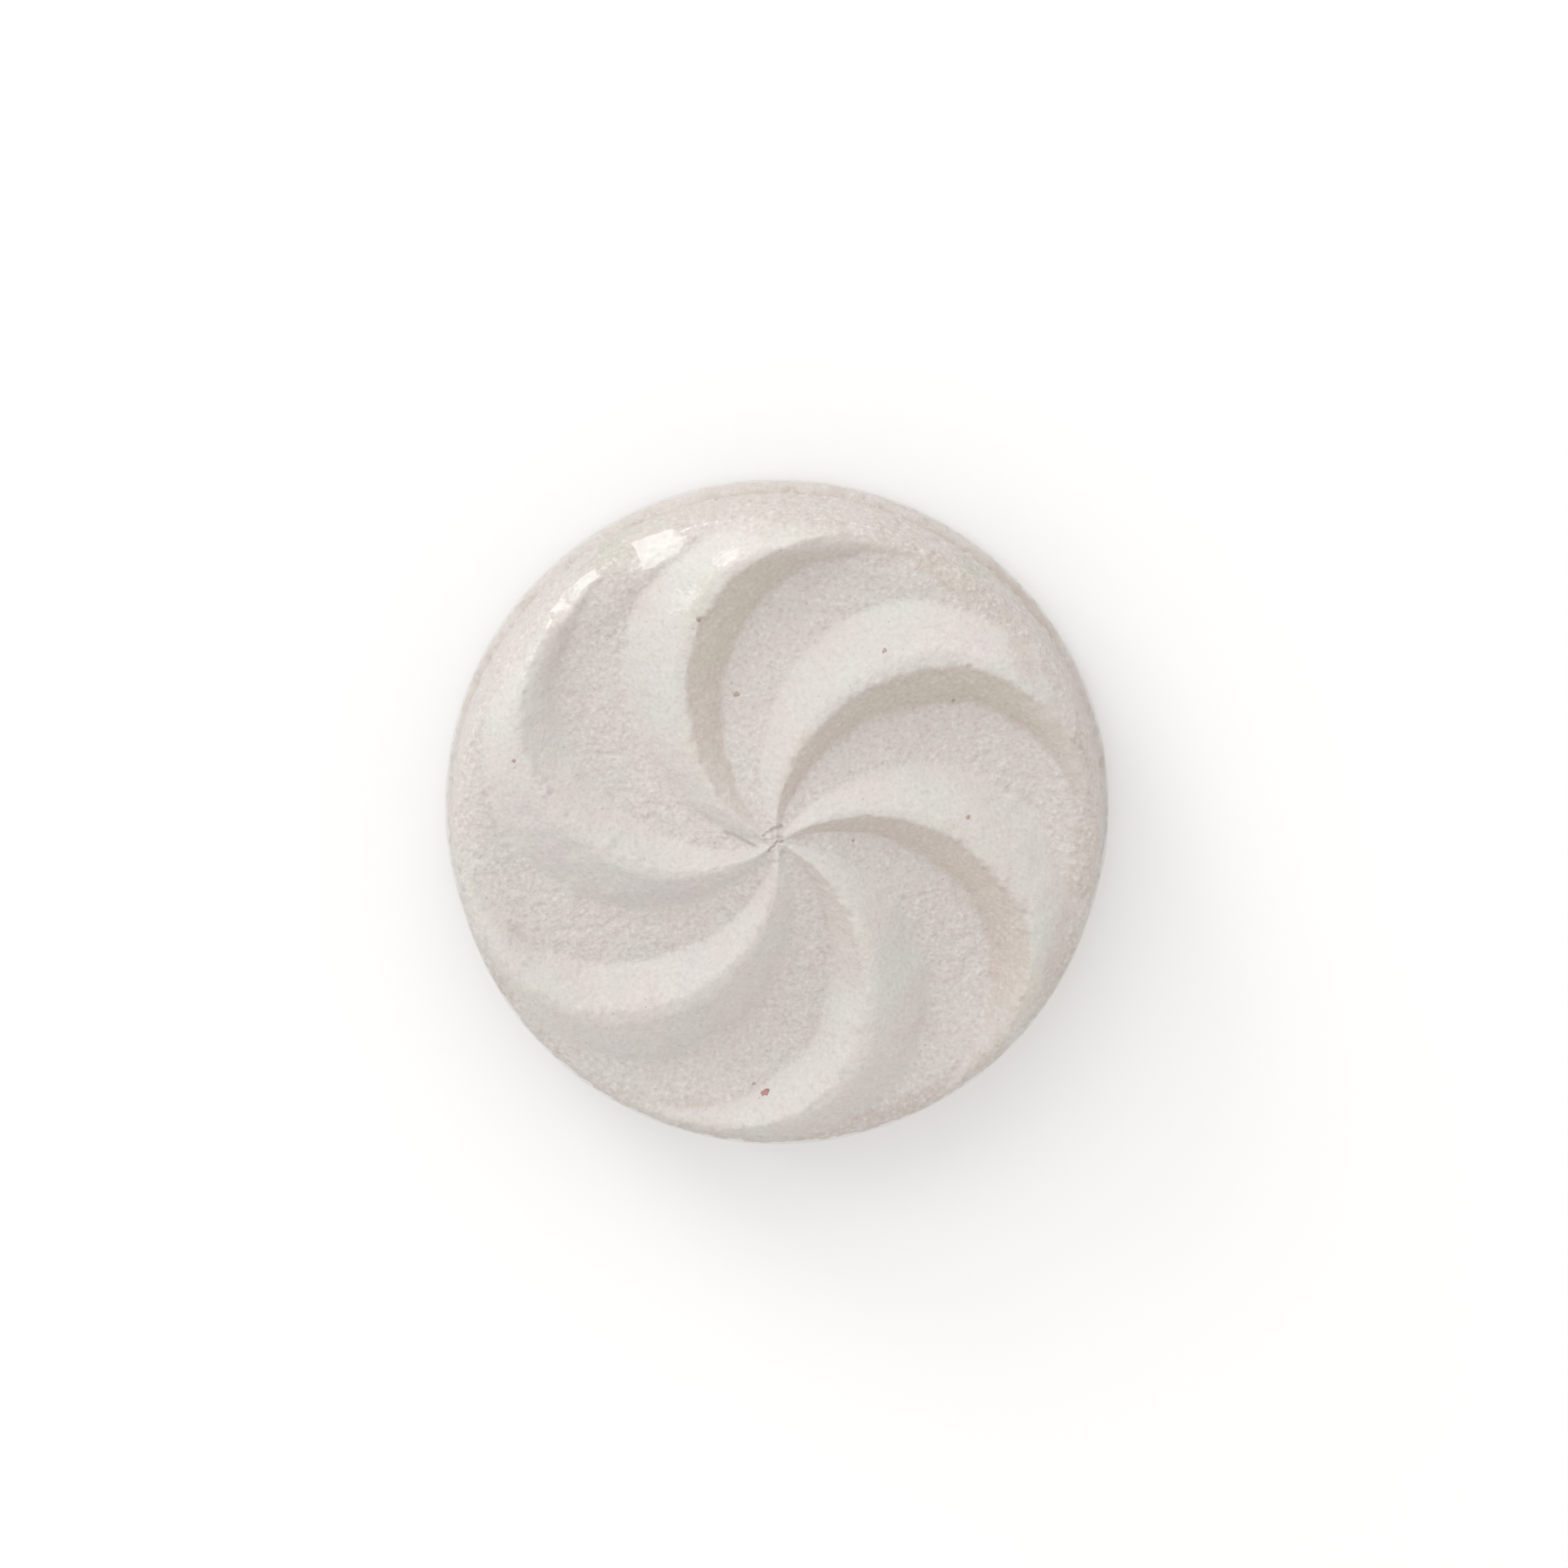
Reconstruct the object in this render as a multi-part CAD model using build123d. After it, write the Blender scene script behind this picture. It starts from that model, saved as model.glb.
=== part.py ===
from build123d import *

import math
import os

# Shaving soap puck in clear shrink film. Millimetres, +Z up.
# The origin is the centre of the puck's flat base, on the surface that it stands on.

# Overall size
FILM_DIAMETER = 75.0  # across the film at the foot of the wall, the widest part
FILM_THICKNESS = 0.1
FILM_GAP = 0.1  # air between the film and the soap's crests and wall
PUCK_HEIGHT = 20.0  # of the soap at its centre, where the ridges meet

# Side view of the soap: flat base, round bottom edge, drafted wall, round shoulder, low dome
BASE_RADIUS = FILM_DIAMETER / 2 - FILM_THICKNESS - FILM_GAP
WALL_DRAFT = 1.6  # how much narrower the shoulder is than the base
BASE_FILLET = 2.4
LIP_TOP = 3.4  # soap that overfilled the mould left a lip round the base up to this height
LIP_STEP_HEIGHT = 4.3  # where the wall is furthest in, just above the lip
LIP_STEP = 0.65  # how far in that is
LIP_FADE_HEIGHT = 8.5  # and where the wall is back on its straight line
SHOULDER_RADIUS = 6.0
DOME_SPAN = 32.0  # radius over which the dome rises
DOME_RISE = 1.4
DOME_RADIUS = (DOME_SPAN**2 + DOME_RISE**2) / (2 * DOME_RISE)
FILM_HEM_ANGLE = 62.0  # how far round the bottom edge the film reaches, in degrees

# Swirl: ridges on arcs through the centre, with hollows between them
RIDGES = 6
RIDGE_PITCH = 360 / RIDGES
RIDGE_ARC_RADIUS = 21.6  # of the arc that each crest line follows in plan
FIRST_CREST_ANGLE = 97.0  # direction in which the first crest leaves the centre
CREST_TRAIL = 13.0  # degrees by which the crests lag behind that arc at the rim
EDGE_CURL = 2.7  # degrees for each millimetre beyond the next radius, as the crests turn along the rim
EDGE_CURL_START = 30.0
EDGE_CURL_BLEND = 2.0
CREST_WIDTH = 5.0  # degrees of each pitch
FLANK_WIDTH = 18.0  # degrees of each pitch, on each side of the crest
SWIRL_START = 1.0  # the hollows begin at this radius
SWIRL_END = 35.8  # and run out at this one
HOLLOW_DEPTH = 3.4  # where it is greatest
DEPTH_GROWTH = 0.9  # power with which the depth grows from the centre
DEPTH_CLOSE = 5.0  # power with which it closes at the rim
CREST_CLEARANCE = 0.1  # each cutter's skin passes this far above the crests
CUTTER_OVERRUN = 0.4  # and goes on this far past the end of the hollows

# Chips of petal and spice set flush in the face: place in plan, and width
CHIP_DEPTH = 0.5
CHIP_SIDES = 5
RED_FLECK = (-1.5, -29.0, 1.3)
BROWN_FLECKS = (
    (-8.3, 24.3, 1.1),
    (-4.4, 15.8, 0.9),
    (11.6, 21.0, 0.7),
    (19.2, 14.8, 0.7),
    (8.3, -0.1, 0.5),
    (-28.5, 8.8, 0.5),
    (20.8, 2.7, 0.5),
    (-2.6, -28.2, 0.5),
)


def shoulder_centre():
    """Centre of the shoulder's arc in the side view, inside the wall and under the dome."""
    x = BASE_RADIUS - WALL_DRAFT - SHOULDER_RADIUS
    rise = math.sqrt((DOME_RADIUS - SHOULDER_RADIUS) ** 2 - x**2)
    return x, PUCK_HEIGHT - DOME_RADIUS + rise


def wall_lean():
    """How far the wall leans in, in degrees, touching the shoulder's arc and the bottom edge's."""
    shoulder = shoulder_centre()
    across = BASE_RADIUS - BASE_FILLET - shoulder[0]
    up = shoulder[1] - BASE_FILLET
    bulge = (SHOULDER_RADIUS - BASE_FILLET) / math.hypot(across, up)
    return math.degrees(math.atan2(across, up) - math.asin(bulge))


def face_height(radius):
    """Height of the soap's outer form, without its hollows, at a distance from the axis."""
    x, z = shoulder_centre()
    meeting = x * DOME_RADIUS / (DOME_RADIUS - SHOULDER_RADIUS)
    if radius <= meeting:
        return PUCK_HEIGHT - DOME_RADIUS + math.sqrt(DOME_RADIUS**2 - radius**2)
    reach = min(radius - x, SHOULDER_RADIUS)
    return z + math.sqrt(SHOULDER_RADIUS**2 - reach**2)


def on_arc(centre, radius, degrees):
    """A point of an arc in the side view, at an angle up from the horizontal."""
    turn = math.radians(degrees)
    return centre[0] + radius * math.cos(turn), centre[1] + radius * math.sin(turn)


def side_lines(grow, foot_angle):
    """The side view from the top of the dome to an angle round the bottom edge, grown all round."""
    shoulder = shoulder_centre()
    sphere = (0, PUCK_HEIGHT - DOME_RADIUS)
    foot = (BASE_RADIUS - BASE_FILLET, BASE_FILLET)
    meeting = math.degrees(math.atan2(shoulder[1] - sphere[1], shoulder[0]))
    lean = wall_lean()
    arcs = (
        (sphere, DOME_RADIUS + grow, 90, meeting),
        (shoulder, SHOULDER_RADIUS + grow, meeting, lean),
        (foot, BASE_FILLET + grow, lean, -foot_angle),
    )
    lines = [
        ThreePointArc(
            on_arc(centre, radius, start),
            on_arc(centre, radius, (start + end) / 2),
            on_arc(centre, radius, end),
        )
        for centre, radius, start, end in arcs
    ]
    wall = Line(lines[1] @ 1, lines[2] @ 0)
    return [lines[0], lines[1], wall, lines[2]]


def revolved(lines):
    """A solid of revolution about the vertical axis from a closed side view."""
    return revolve(Plane.XZ * make_face(Curve() + lines), axis=Axis.Z)


def lip_groove(wall):
    """The ring cut away above the lip: three-sided, and reaching out past the wall."""
    reach = 1.5
    bottom = wall_point(wall, LIP_STEP_HEIGHT) - Vector(LIP_STEP, 0)
    lower = bottom + (wall_point(wall, LIP_TOP) - bottom) * reach
    upper = bottom + (wall_point(wall, LIP_FADE_HEIGHT) - bottom) * reach
    return revolved([Line(bottom, lower), Line(lower, upper), Line(upper, bottom)])


def wall_point(wall, height):
    """The point of the wall's line at a height."""
    top, foot = wall @ 0, wall @ 1
    return top + (foot - top) * ((top.Y - height) / (top.Y - foot.Y))


def soap_blank():
    """The soap's outer form before its hollows are cut."""
    lines = side_lines(0, 90)
    base = Line(lines[-1] @ 1, (0, 0))
    axis = Line((0, 0), (0, PUCK_HEIGHT))
    return revolved(lines + [base, axis]) - lip_groove(lines[2])


def smooth_step(value):
    """0 below 0, 1 above 1, and a smooth ramp between them."""
    value = min(max(value, 0), 1)
    return value * value * (3 - 2 * value)


def floor_share(offset):
    """From 0 on a crest to 1 on a hollow's floor, at an angle from the crest line."""
    nearest = min(offset % RIDGE_PITCH, -offset % RIDGE_PITCH)
    return smooth_step((nearest - CREST_WIDTH / 2) / FLANK_WIDTH)


def depth_law(share):
    """The hollows' depth along their length, before it is scaled."""
    return share**DEPTH_GROWTH * (1 - share**DEPTH_CLOSE)


def hollow_depth(radius):
    """Depth of the floors below the crests: nothing at the centre or the rim."""
    deepest = (DEPTH_GROWTH / (DEPTH_GROWTH + DEPTH_CLOSE)) ** (1 / DEPTH_CLOSE)
    share = min(radius / SWIRL_END, 1)
    return HOLLOW_DEPTH * depth_law(share) / depth_law(deepest)


def crest_angle(radius):
    """Direction of the first ridge's crest line at a distance from the centre."""
    arc = math.degrees(math.asin(radius / (2 * RIDGE_ARC_RADIUS)))
    past = radius - EDGE_CURL_START
    curl = EDGE_CURL * (past + math.hypot(past, EDGE_CURL_BLEND)) / 2
    return FIRST_CREST_ANGLE - arc - CREST_TRAIL * radius / SWIRL_END - curl


def swirl_height(radius, offset, clearance=0.0):
    """Height of the swirled face at a distance from the axis and an angle from a crest line."""
    drop = (hollow_depth(radius) + clearance) * floor_share(offset)
    return face_height(radius) + clearance - drop


def hollow_cutter():
    """The space in the hollow after the first ridge, from crest to crest and open above."""
    steps_out = 30
    steps_across = 24
    rows = []
    for i in range(steps_out + 1):
        radius = SWIRL_START + (SWIRL_END + CUTTER_OVERRUN - SWIRL_START) * i / steps_out
        row = []
        for j in range(steps_across + 1):
            offset = RIDGE_PITCH * j / steps_across
            angle = math.radians(crest_angle(radius) + offset)
            height = swirl_height(radius, offset, CREST_CLEARANCE)
            row.append((radius * math.cos(angle), radius * math.sin(angle), height))
        rows.append(row)
    skin = Face.make_surface_from_array_of_points(rows, tol=0.01, min_deg=3, max_deg=5)
    return extrude(skin, amount=PUCK_HEIGHT, dir=(0, 0, 1))


def point_on_face(x, y):
    """The point of the swirled face over a place in plan."""
    radius = math.hypot(x, y)
    offset = math.degrees(math.atan2(y, x)) - crest_angle(radius)
    return Vector(x, y, swirl_height(radius, offset))


def tangent_plane(x, y):
    """The plane that touches the swirled face over a place in plan."""
    step = 0.2
    along = point_on_face(x + step, y) - point_on_face(x - step, y)
    across = point_on_face(x, y + step) - point_on_face(x, y - step)
    return Plane(point_on_face(x, y), x_dir=along, z_dir=along.cross(across))


def chip(place, top):
    """An uneven flat-sided chip sunk in the face at a place, its top this far above the face."""
    x, y, width = place
    corners = []
    for side in range(CHIP_SIDES):
        reach = width / 2 * (1 - 0.25 * (side % 2))
        turn = math.radians(360 / CHIP_SIDES * side + 20 * x)
        corners.append((reach * math.cos(turn), reach * math.sin(turn)))
    outline = Plane((0, 0, -CHIP_DEPTH)) * make_face(Polyline(corners, close=True))
    prism = extrude(outline, amount=CHIP_DEPTH + top, dir=(0, 0, 1))
    return tangent_plane(x, y) * prism


def make_soap():
    """The puck, with its swirl and a pocket for each chip."""
    pocket_top = 1.0
    soap = soap_blank()
    cutter = hollow_cutter()
    for ridge in range(RIDGES):
        soap -= Rot(0, 0, RIDGE_PITCH * ridge) * cutter
    for place in (RED_FLECK, *BROWN_FLECKS):
        soap -= chip(place, pocket_top)
    return soap


def make_film():
    """The clear skin: over the dome, down the wall and part of the way round the bottom edge."""
    inner = side_lines(FILM_GAP, FILM_HEM_ANGLE)
    outer = side_lines(FILM_GAP + FILM_THICKNESS, FILM_HEM_ANGLE)
    top = Line(inner[0] @ 0, outer[0] @ 0)
    hem = Line(inner[-1] @ 1, outer[-1] @ 1)
    return revolved(inner + outer + [top, hem])


os.makedirs("parts", exist_ok=True)
export_step(make_soap(), "parts/soap_puck.step")
export_step(make_film(), "parts/shrink_film.step")
export_step(chip(RED_FLECK, 0), "parts/red_fleck.step")
export_step(Compound([chip(place, 0) for place in BROWN_FLECKS]), "parts/brown_flecks.step")
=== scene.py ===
import math

import bpy
import numpy as np
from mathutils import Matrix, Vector
from mathutils.bvhtree import BVHTree


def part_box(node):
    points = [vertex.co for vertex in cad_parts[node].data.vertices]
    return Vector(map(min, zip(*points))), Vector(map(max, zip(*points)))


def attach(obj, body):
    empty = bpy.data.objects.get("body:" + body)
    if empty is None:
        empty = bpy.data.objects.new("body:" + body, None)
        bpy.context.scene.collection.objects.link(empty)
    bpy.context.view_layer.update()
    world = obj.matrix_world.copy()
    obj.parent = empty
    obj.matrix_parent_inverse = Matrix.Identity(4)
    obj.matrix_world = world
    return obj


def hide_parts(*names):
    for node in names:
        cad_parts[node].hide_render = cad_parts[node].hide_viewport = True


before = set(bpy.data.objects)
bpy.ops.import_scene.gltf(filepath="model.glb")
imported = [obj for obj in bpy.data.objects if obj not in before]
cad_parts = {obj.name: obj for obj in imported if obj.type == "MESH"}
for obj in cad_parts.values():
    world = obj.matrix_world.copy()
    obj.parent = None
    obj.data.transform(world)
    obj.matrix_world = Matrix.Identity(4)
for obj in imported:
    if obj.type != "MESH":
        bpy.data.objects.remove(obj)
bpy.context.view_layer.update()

# A shaving soap puck in clear shrink film, on a pale studio floor.
# Lengths here are in millimetres, angles in degrees; meshes are scaled to metres as they are made.
MM = 0.001


def highest_corner(node):
    """Highest corner of a CAD node's box, in millimetres."""
    return np.array(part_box(node)[1]) / MM


SOAP_HIGH = highest_corner("soap_puck")
FILM_HIGH = highest_corner("shrink_film")

# Side view of the soap
BASE_RADIUS = SOAP_HIGH[0]
PUCK_HEIGHT = SOAP_HIGH[2]
WALL_DRAFT = 1.6
BASE_FILLET = 2.4
SHOULDER_RADIUS = 6.0
DOME_SPAN = 32.0
DOME_RISE = 1.4
DOME_RADIUS = (DOME_SPAN**2 + DOME_RISE**2) / (2 * DOME_RISE)
SHOULDER_X = BASE_RADIUS - WALL_DRAFT - SHOULDER_RADIUS
SHOULDER_Z = PUCK_HEIGHT - DOME_RADIUS + math.sqrt((DOME_RADIUS - SHOULDER_RADIUS) ** 2 - SHOULDER_X**2)
SHOULDER_LEAN = math.atan2(SHOULDER_Z - PUCK_HEIGHT + DOME_RADIUS, SHOULDER_X)
FOOT_X = BASE_RADIUS - BASE_FILLET
WALL_SPAN = math.hypot(FOOT_X - SHOULDER_X, SHOULDER_Z - BASE_FILLET)
WALL_LEAN = math.atan2(FOOT_X - SHOULDER_X, SHOULDER_Z - BASE_FILLET)
WALL_LEAN -= math.asin((SHOULDER_RADIUS - BASE_FILLET) / WALL_SPAN)

# Step in the wall above the lip of overfilled soap: heights, and how far in it goes
LIP_HEIGHTS = (3.4, 4.3, 8.5)
LIP_STEPS = (0, 0.65, 0)

# Swirl
RIDGES = 6
RIDGE_PITCH = 360 / RIDGES
RIDGE_ARC_RADIUS = 21.6
FIRST_CREST_ANGLE = 97.0
CREST_TRAIL = 13.0
EDGE_CURL = 2.7  # degrees for each millimetre beyond the radius where the crests turn along the rim
EDGE_CURL_START = 30.0
EDGE_CURL_BLEND = 2.0
SWIRL_END = 35.8
HOLLOW_DEPTH = 3.4
DEPTH_GROWTH = 0.9
DEPTH_CLOSE = 5.0
CREST_WIDTH = 5.0
INNER_FLANK = 15.0  # the steeper flank, on the inside of each ridge's curve
OUTER_FLANK = 18.0
INNER_ROUNDING = (0.04, 0.025)  # of the inner flank's foot and head, as shares of its width
OUTER_ROUNDING = (0.035, 0.09)
UNEVENNESS = 0.06  # share by which the hollows' depth varies at random
WEAR = 0.1  # deepest that the face is worn down in patches
DISHING = 0.1  # share by which a hollow is deeper along its middle

# Places where a hollow came out shallower: place in plan, and the share of its depth that is missing
SHALLOW_PLACES = ((-26, 16, 0.2), (29, -9, 0.15))
SHALLOW_SPREAD = 9.0

# Relief of the soap's surface: height of each kind, and how far across it is
LUMPS = (0.06, 5.0)
GRAINS = (0.055, 0.9)
CRUMBS = (0.45, 0.85)
PITS = (0.5, 0.9)
KNOTS = (0.55, 0.55)  # at the pinched centre
GRAIN_REACH = 0.13  # the highest grains stand this far above their middle level

# Pinched centre: cracks in plan, and the crease that one of them runs into
CRACK_DEPTH = 0.3
CRACK_WIDTH = 0.14
CENTRE_CRACKS = (
    ((-1.5, 0.8), (-0.9, 1.1), (-0.3, 1.5), (0.5, 1.7)),
    ((-1.0, -0.9), (-0.4, -0.4), (0.1, 0.1), (0.6, 0.2)),
    ((-5.6, 0.9), (-4.0, 0.3), (-2.6, -0.4)),
)

# Places where the shoulder is pressed nearly flat: direction and distance from the axis, then the
# direction that the flat faces, its tilt and its depth
SHOULDER_FLATS = ((112.5, 34.9, 121, 39, 0.5), (128, 34.9, 128, 39, 0.25))
FLAT_REACH = 4.5
FLAT_BEND = 32.0  # radius to which a flat still bulges

# Rough line round the wall above the lip, where the mould was open
RIM_HEIGHT = 4.6
RIM_GROOVE = 0.4
RIM_WANDER = ((0.5, 9.0), (0.4, 2.0))  # how far it wanders up and down, and over what length

# Film
FILM_HEM_ANGLE = 62.0
FILM_CLEARANCE = 0.05
FILM_HELD = 35.0  # beyond this radius it lies tight on the shoulder
FILM_OFF_FLATS = 0.07  # the film's distance from the soap where the shoulder is pressed
PLEAT_DEPTH = 0.06  # of the folds down the wall
RIPPLE_DEPTH = 0.018
GRID_STEP = 0.25  # of the square grid on which it is stretched
GRID_HALF = 38.0
GRID_COUNT = int(2 * GRID_HALF / GRID_STEP) + 1

# Places round the wall where grey-green patches are laid on the soap: direction and spread
GREY_GREEN_PLACES = ((120, 9), (52, 5), (-36, 12), (-152, 10))

# Chips
CHIP_APART = 2.0  # corners closer than this belong to one chip
CHIP_CORNERS = 11
CHIP_BULGE = 0.07
CHIP_SUNK = 0.3
CHIP_RAGGED = (0.45, 1.25)  # how far in and out its corners lie, as shares of half its width
RED_CHIP_TAIL = 1.7  # how much further out one corner of the red chip is drawn


# ---------------------------------------------------------------- noise

def hashed(x, y, z, seed):
    """A number from -1 to 1 for each whole-number lattice point, always the same for a seed."""
    mixed = (x * 374761393 + y * 668265263 + z * 1103515245 + seed * 1274126177) & 0xFFFFFFFF
    mixed = ((mixed ^ (mixed >> 13)) * 1274126177) & 0xFFFFFFFF
    return ((mixed ^ (mixed >> 16)) & 0xFFFF) / 32767.5 - 1


def noise(points, size, seed):
    """Smooth noise from -1 to 1 whose lumps are about size across."""
    scaled = points / size
    cell = np.floor(scaled).astype(np.int64)
    part = scaled - cell
    ease = part * part * part * (part * (part * 6 - 15) + 10)
    total = np.zeros(len(points))
    for dx in (0, 1):
        for dy in (0, 1):
            for dz in (0, 1):
                weight = np.ones(len(points))
                for axis, step in enumerate((dx, dy, dz)):
                    weight *= ease[:, axis] if step else 1 - ease[:, axis]
                total += weight * hashed(cell[:, 0] + dx, cell[:, 1] + dy, cell[:, 2] + dz, seed)
    return total


def fractal(points, size, octaves, seed, fade=0.5):
    """Several layers of noise, each half the size of the one before."""
    total = np.zeros(len(points))
    for octave in range(octaves):
        total += fade**octave * noise(points, size / 2**octave, seed + octave)
    return total


# ---------------------------------------------------------------- the soap's form

def face_height(radius):
    """Height of the soap's outer form, without its hollows, at distances from the axis."""
    meeting = SHOULDER_X + SHOULDER_RADIUS * math.cos(SHOULDER_LEAN)
    dome = PUCK_HEIGHT - DOME_RADIUS + np.sqrt(DOME_RADIUS**2 - radius**2)
    reach = np.clip(radius - SHOULDER_X, 0, SHOULDER_RADIUS)
    shoulder = SHOULDER_Z + np.sqrt(SHOULDER_RADIUS**2 - reach**2)
    return np.where(radius <= meeting, dome, shoulder)


def soft_step(value, foot, head):
    """Rises from 0 to 1 as value does, rounded over foot at the bottom and over head at the top."""
    risen = 0.5 * (value + np.sqrt(value**2 + foot**2))
    left = 0.5 * (1 - risen + np.sqrt((1 - risen) ** 2 + head**2))
    return 1 - left


def one_ridge(offset):
    """A ridge's section, from 0 on the floor to 1 on the crest, across angles from its crest."""
    inner = soft_step((offset + CREST_WIDTH / 2 + INNER_FLANK) / INNER_FLANK, *INNER_ROUNDING)
    outer = soft_step((CREST_WIDTH / 2 + OUTER_FLANK - offset) / OUTER_FLANK, *OUTER_ROUNDING)
    return inner * outer


def depth_law(share):
    return share**DEPTH_GROWTH * (1 - share**DEPTH_CLOSE)


def hollow_depth(radius):
    """Depth of the floors below the crests at distances from the axis."""
    deepest = (DEPTH_GROWTH / (DEPTH_GROWTH + DEPTH_CLOSE)) ** (1 / DEPTH_CLOSE)
    return HOLLOW_DEPTH * depth_law(np.clip(radius / SWIRL_END, 0, 1)) / depth_law(deepest)


def in_plan(x, y):
    """Places in plan as points, for noise."""
    return np.stack([x, y, np.zeros_like(x)], 1)


def crest_offset(x, y):
    """Angle from the nearest ridge's crest line, which wanders and crumbles a little."""
    radius = np.hypot(x, y)
    arc = np.degrees(np.arcsin(np.clip(radius / (2 * RIDGE_ARC_RADIUS), 0, 1)))
    past = radius - EDGE_CURL_START
    curl = EDGE_CURL * (past + np.sqrt(past**2 + EDGE_CURL_BLEND**2)) / 2
    crest = FIRST_CREST_ANGLE - arc - CREST_TRAIL * radius / SWIRL_END - curl
    plan = in_plan(x, y)
    wander = 1.2 * noise(plan, 11.0, 3) + 0.6 * noise(plan, 3.5, 4) + 0.45 * noise(plan, 1.3, 5)
    offset = np.degrees(np.arctan2(y, x)) - crest + wander
    return (offset + RIDGE_PITCH / 2) % RIDGE_PITCH - RIDGE_PITCH / 2


def ridge_share(offset):
    """From 0 on the hollows' floors to 1 on the crests, at angles from the nearest crest line."""
    share = sum(one_ridge(offset + turn) for turn in (-RIDGE_PITCH, 0, RIDGE_PITCH))
    return np.clip(share, 0, 1)


def near_segment(x, y, start, end):
    """Distance of places in plan from a straight line between two points."""
    along = np.subtract(end, start)
    share = ((x - start[0]) * along[0] + (y - start[1]) * along[1]) / np.dot(along, along)
    share = np.clip(share, 0, 1)
    return np.hypot(x - start[0] - share * along[0], y - start[1] - share * along[1])


def crack_drop(x, y):
    """Depth of the cracks where the ridges are pinched together, and of the creases beside them."""
    ragged = 0.12 * noise(in_plan(x, y), 0.5, 41)
    drop = np.zeros_like(x)
    for line in CENTRE_CRACKS:
        for start, end in zip(line[:-1], line[1:]):
            gap = near_segment(x + ragged, y - ragged, start, end)
            drop = np.maximum(drop, CRACK_DEPTH * np.exp(-((gap / CRACK_WIDTH) ** 2)))
    return drop


def swirl_drop(x, y):
    """How far the swirled face lies below the soap's outer form."""
    radius = np.hypot(x, y)
    plan = in_plan(x, y)
    uneven = 1 + UNEVENNESS * noise(plan, 14.0, 8)
    for across, along, shortfall in SHALLOW_PLACES:
        uneven -= shortfall * np.exp(-(((x - across) ** 2 + (y - along) ** 2) / SHALLOW_SPREAD**2))
    worn = WEAR * np.clip(noise(plan, 9.0, 9), 0, 1) * np.clip(radius / 8, 0, 1)
    share = ridge_share(crest_offset(x, y))
    dished = DISHING * np.sin(np.pi * np.clip(1 - share, 0, 1) / 2) ** 8
    return (hollow_depth(radius) * (uneven + dished)) * (1 - share) + worn + crack_drop(x, y)


# ---------------------------------------------------------------- meshes

def side_stations(start, spacing, wall_spacing, foot_angle):
    """Stations down the side view beyond a radius: radius, height and outward slope."""
    stations = []
    dome_end = DOME_RADIUS * math.cos(SHOULDER_LEAN)
    for radius in np.arange(start, dome_end, spacing):
        height = PUCK_HEIGHT - DOME_RADIUS + math.sqrt(DOME_RADIUS**2 - radius**2)
        stations.append((radius, height, math.asin(radius / DOME_RADIUS)))

    def arc_station(centre, radius, lean):
        x = centre[0] + radius * math.cos(lean)
        stations.append((x, centre[1] + radius * math.sin(lean), math.pi / 2 - lean))

    for lean in np.arange(SHOULDER_LEAN, WALL_LEAN, -spacing / SHOULDER_RADIUS):
        arc_station((SHOULDER_X, SHOULDER_Z), SHOULDER_RADIUS, lean)
    arc_station((SHOULDER_X, SHOULDER_Z), SHOULDER_RADIUS, WALL_LEAN)
    top_x, top_z, slope = stations[-1]
    foot_x = FOOT_X + BASE_FILLET * math.cos(WALL_LEAN)
    foot_z = BASE_FILLET + BASE_FILLET * math.sin(WALL_LEAN)
    steps = int((top_z - foot_z) / wall_spacing)
    for share in np.arange(1, steps) / steps:
        stations.append((top_x + (foot_x - top_x) * share, top_z + (foot_z - top_z) * share, slope))
    leans = np.linspace(WALL_LEAN, -math.radians(foot_angle), 9)
    for lean in leans:
        arc_station((FOOT_X, BASE_FILLET), BASE_FILLET, lean)
    return stations


class RingMesh:
    """Rings of points about the vertical axis, joined outward, with counts that may double."""

    def __init__(self):
        self.rings = []
        self.faces = []
        self.total = 0

    def centre(self):
        self.rings.append((0, 1))
        self.total += 1

    def ring(self, count):
        start = self.total
        self.total += count
        before, inner = self.rings[-1]
        self.rings.append((start, count))
        if inner == 1:
            for i in range(count):
                self.faces.append((before, start + i, start + (i + 1) % count))
        elif inner == count:
            for i in range(count):
                j = (i + 1) % count
                self.faces.append((before + i, start + i, start + j, before + j))
        else:
            for i in range(inner):
                j = (i + 1) % inner
                a, b, c = (start + k % count for k in (2 * i, 2 * i + 1, 2 * i + 2))
                self.faces.append((before + i, a, b))
                self.faces.append((before + i, b, before + j))
                self.faces.append((before + j, b, c))


def ring_angles(count):
    return np.arange(count) * 2 * math.pi / count


def make_object(name, points, faces):
    """A smooth-shaded mesh object from points in millimetres, riding on the one body."""
    mesh = bpy.data.meshes.new(name)
    mesh.from_pydata((points * MM).tolist(), [], faces)
    mesh.update()
    mesh.shade_smooth()
    made = bpy.data.objects.new(name, mesh)
    bpy.context.scene.collection.objects.link(made)
    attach(made, "root")
    return made


def mesh_normals(points, faces):
    """Outward normals of a mesh of points and faces."""
    mesh = bpy.data.meshes.new("normals")
    mesh.from_pydata(points.tolist(), [], faces)
    mesh.update()
    normals = np.zeros(len(points) * 3)
    mesh.vertex_normals.foreach_get("vector", normals)
    bpy.data.meshes.remove(mesh)
    return normals.reshape(-1, 3)


def add_mask(made, name, values):
    """Stores a number from 0 to 1 at each point, for the material to read."""
    layer = made.data.attributes.new(name, "FLOAT", "POINT")
    layer.data.foreach_set("value", np.clip(values, 0, 1).astype(np.float32))


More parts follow.
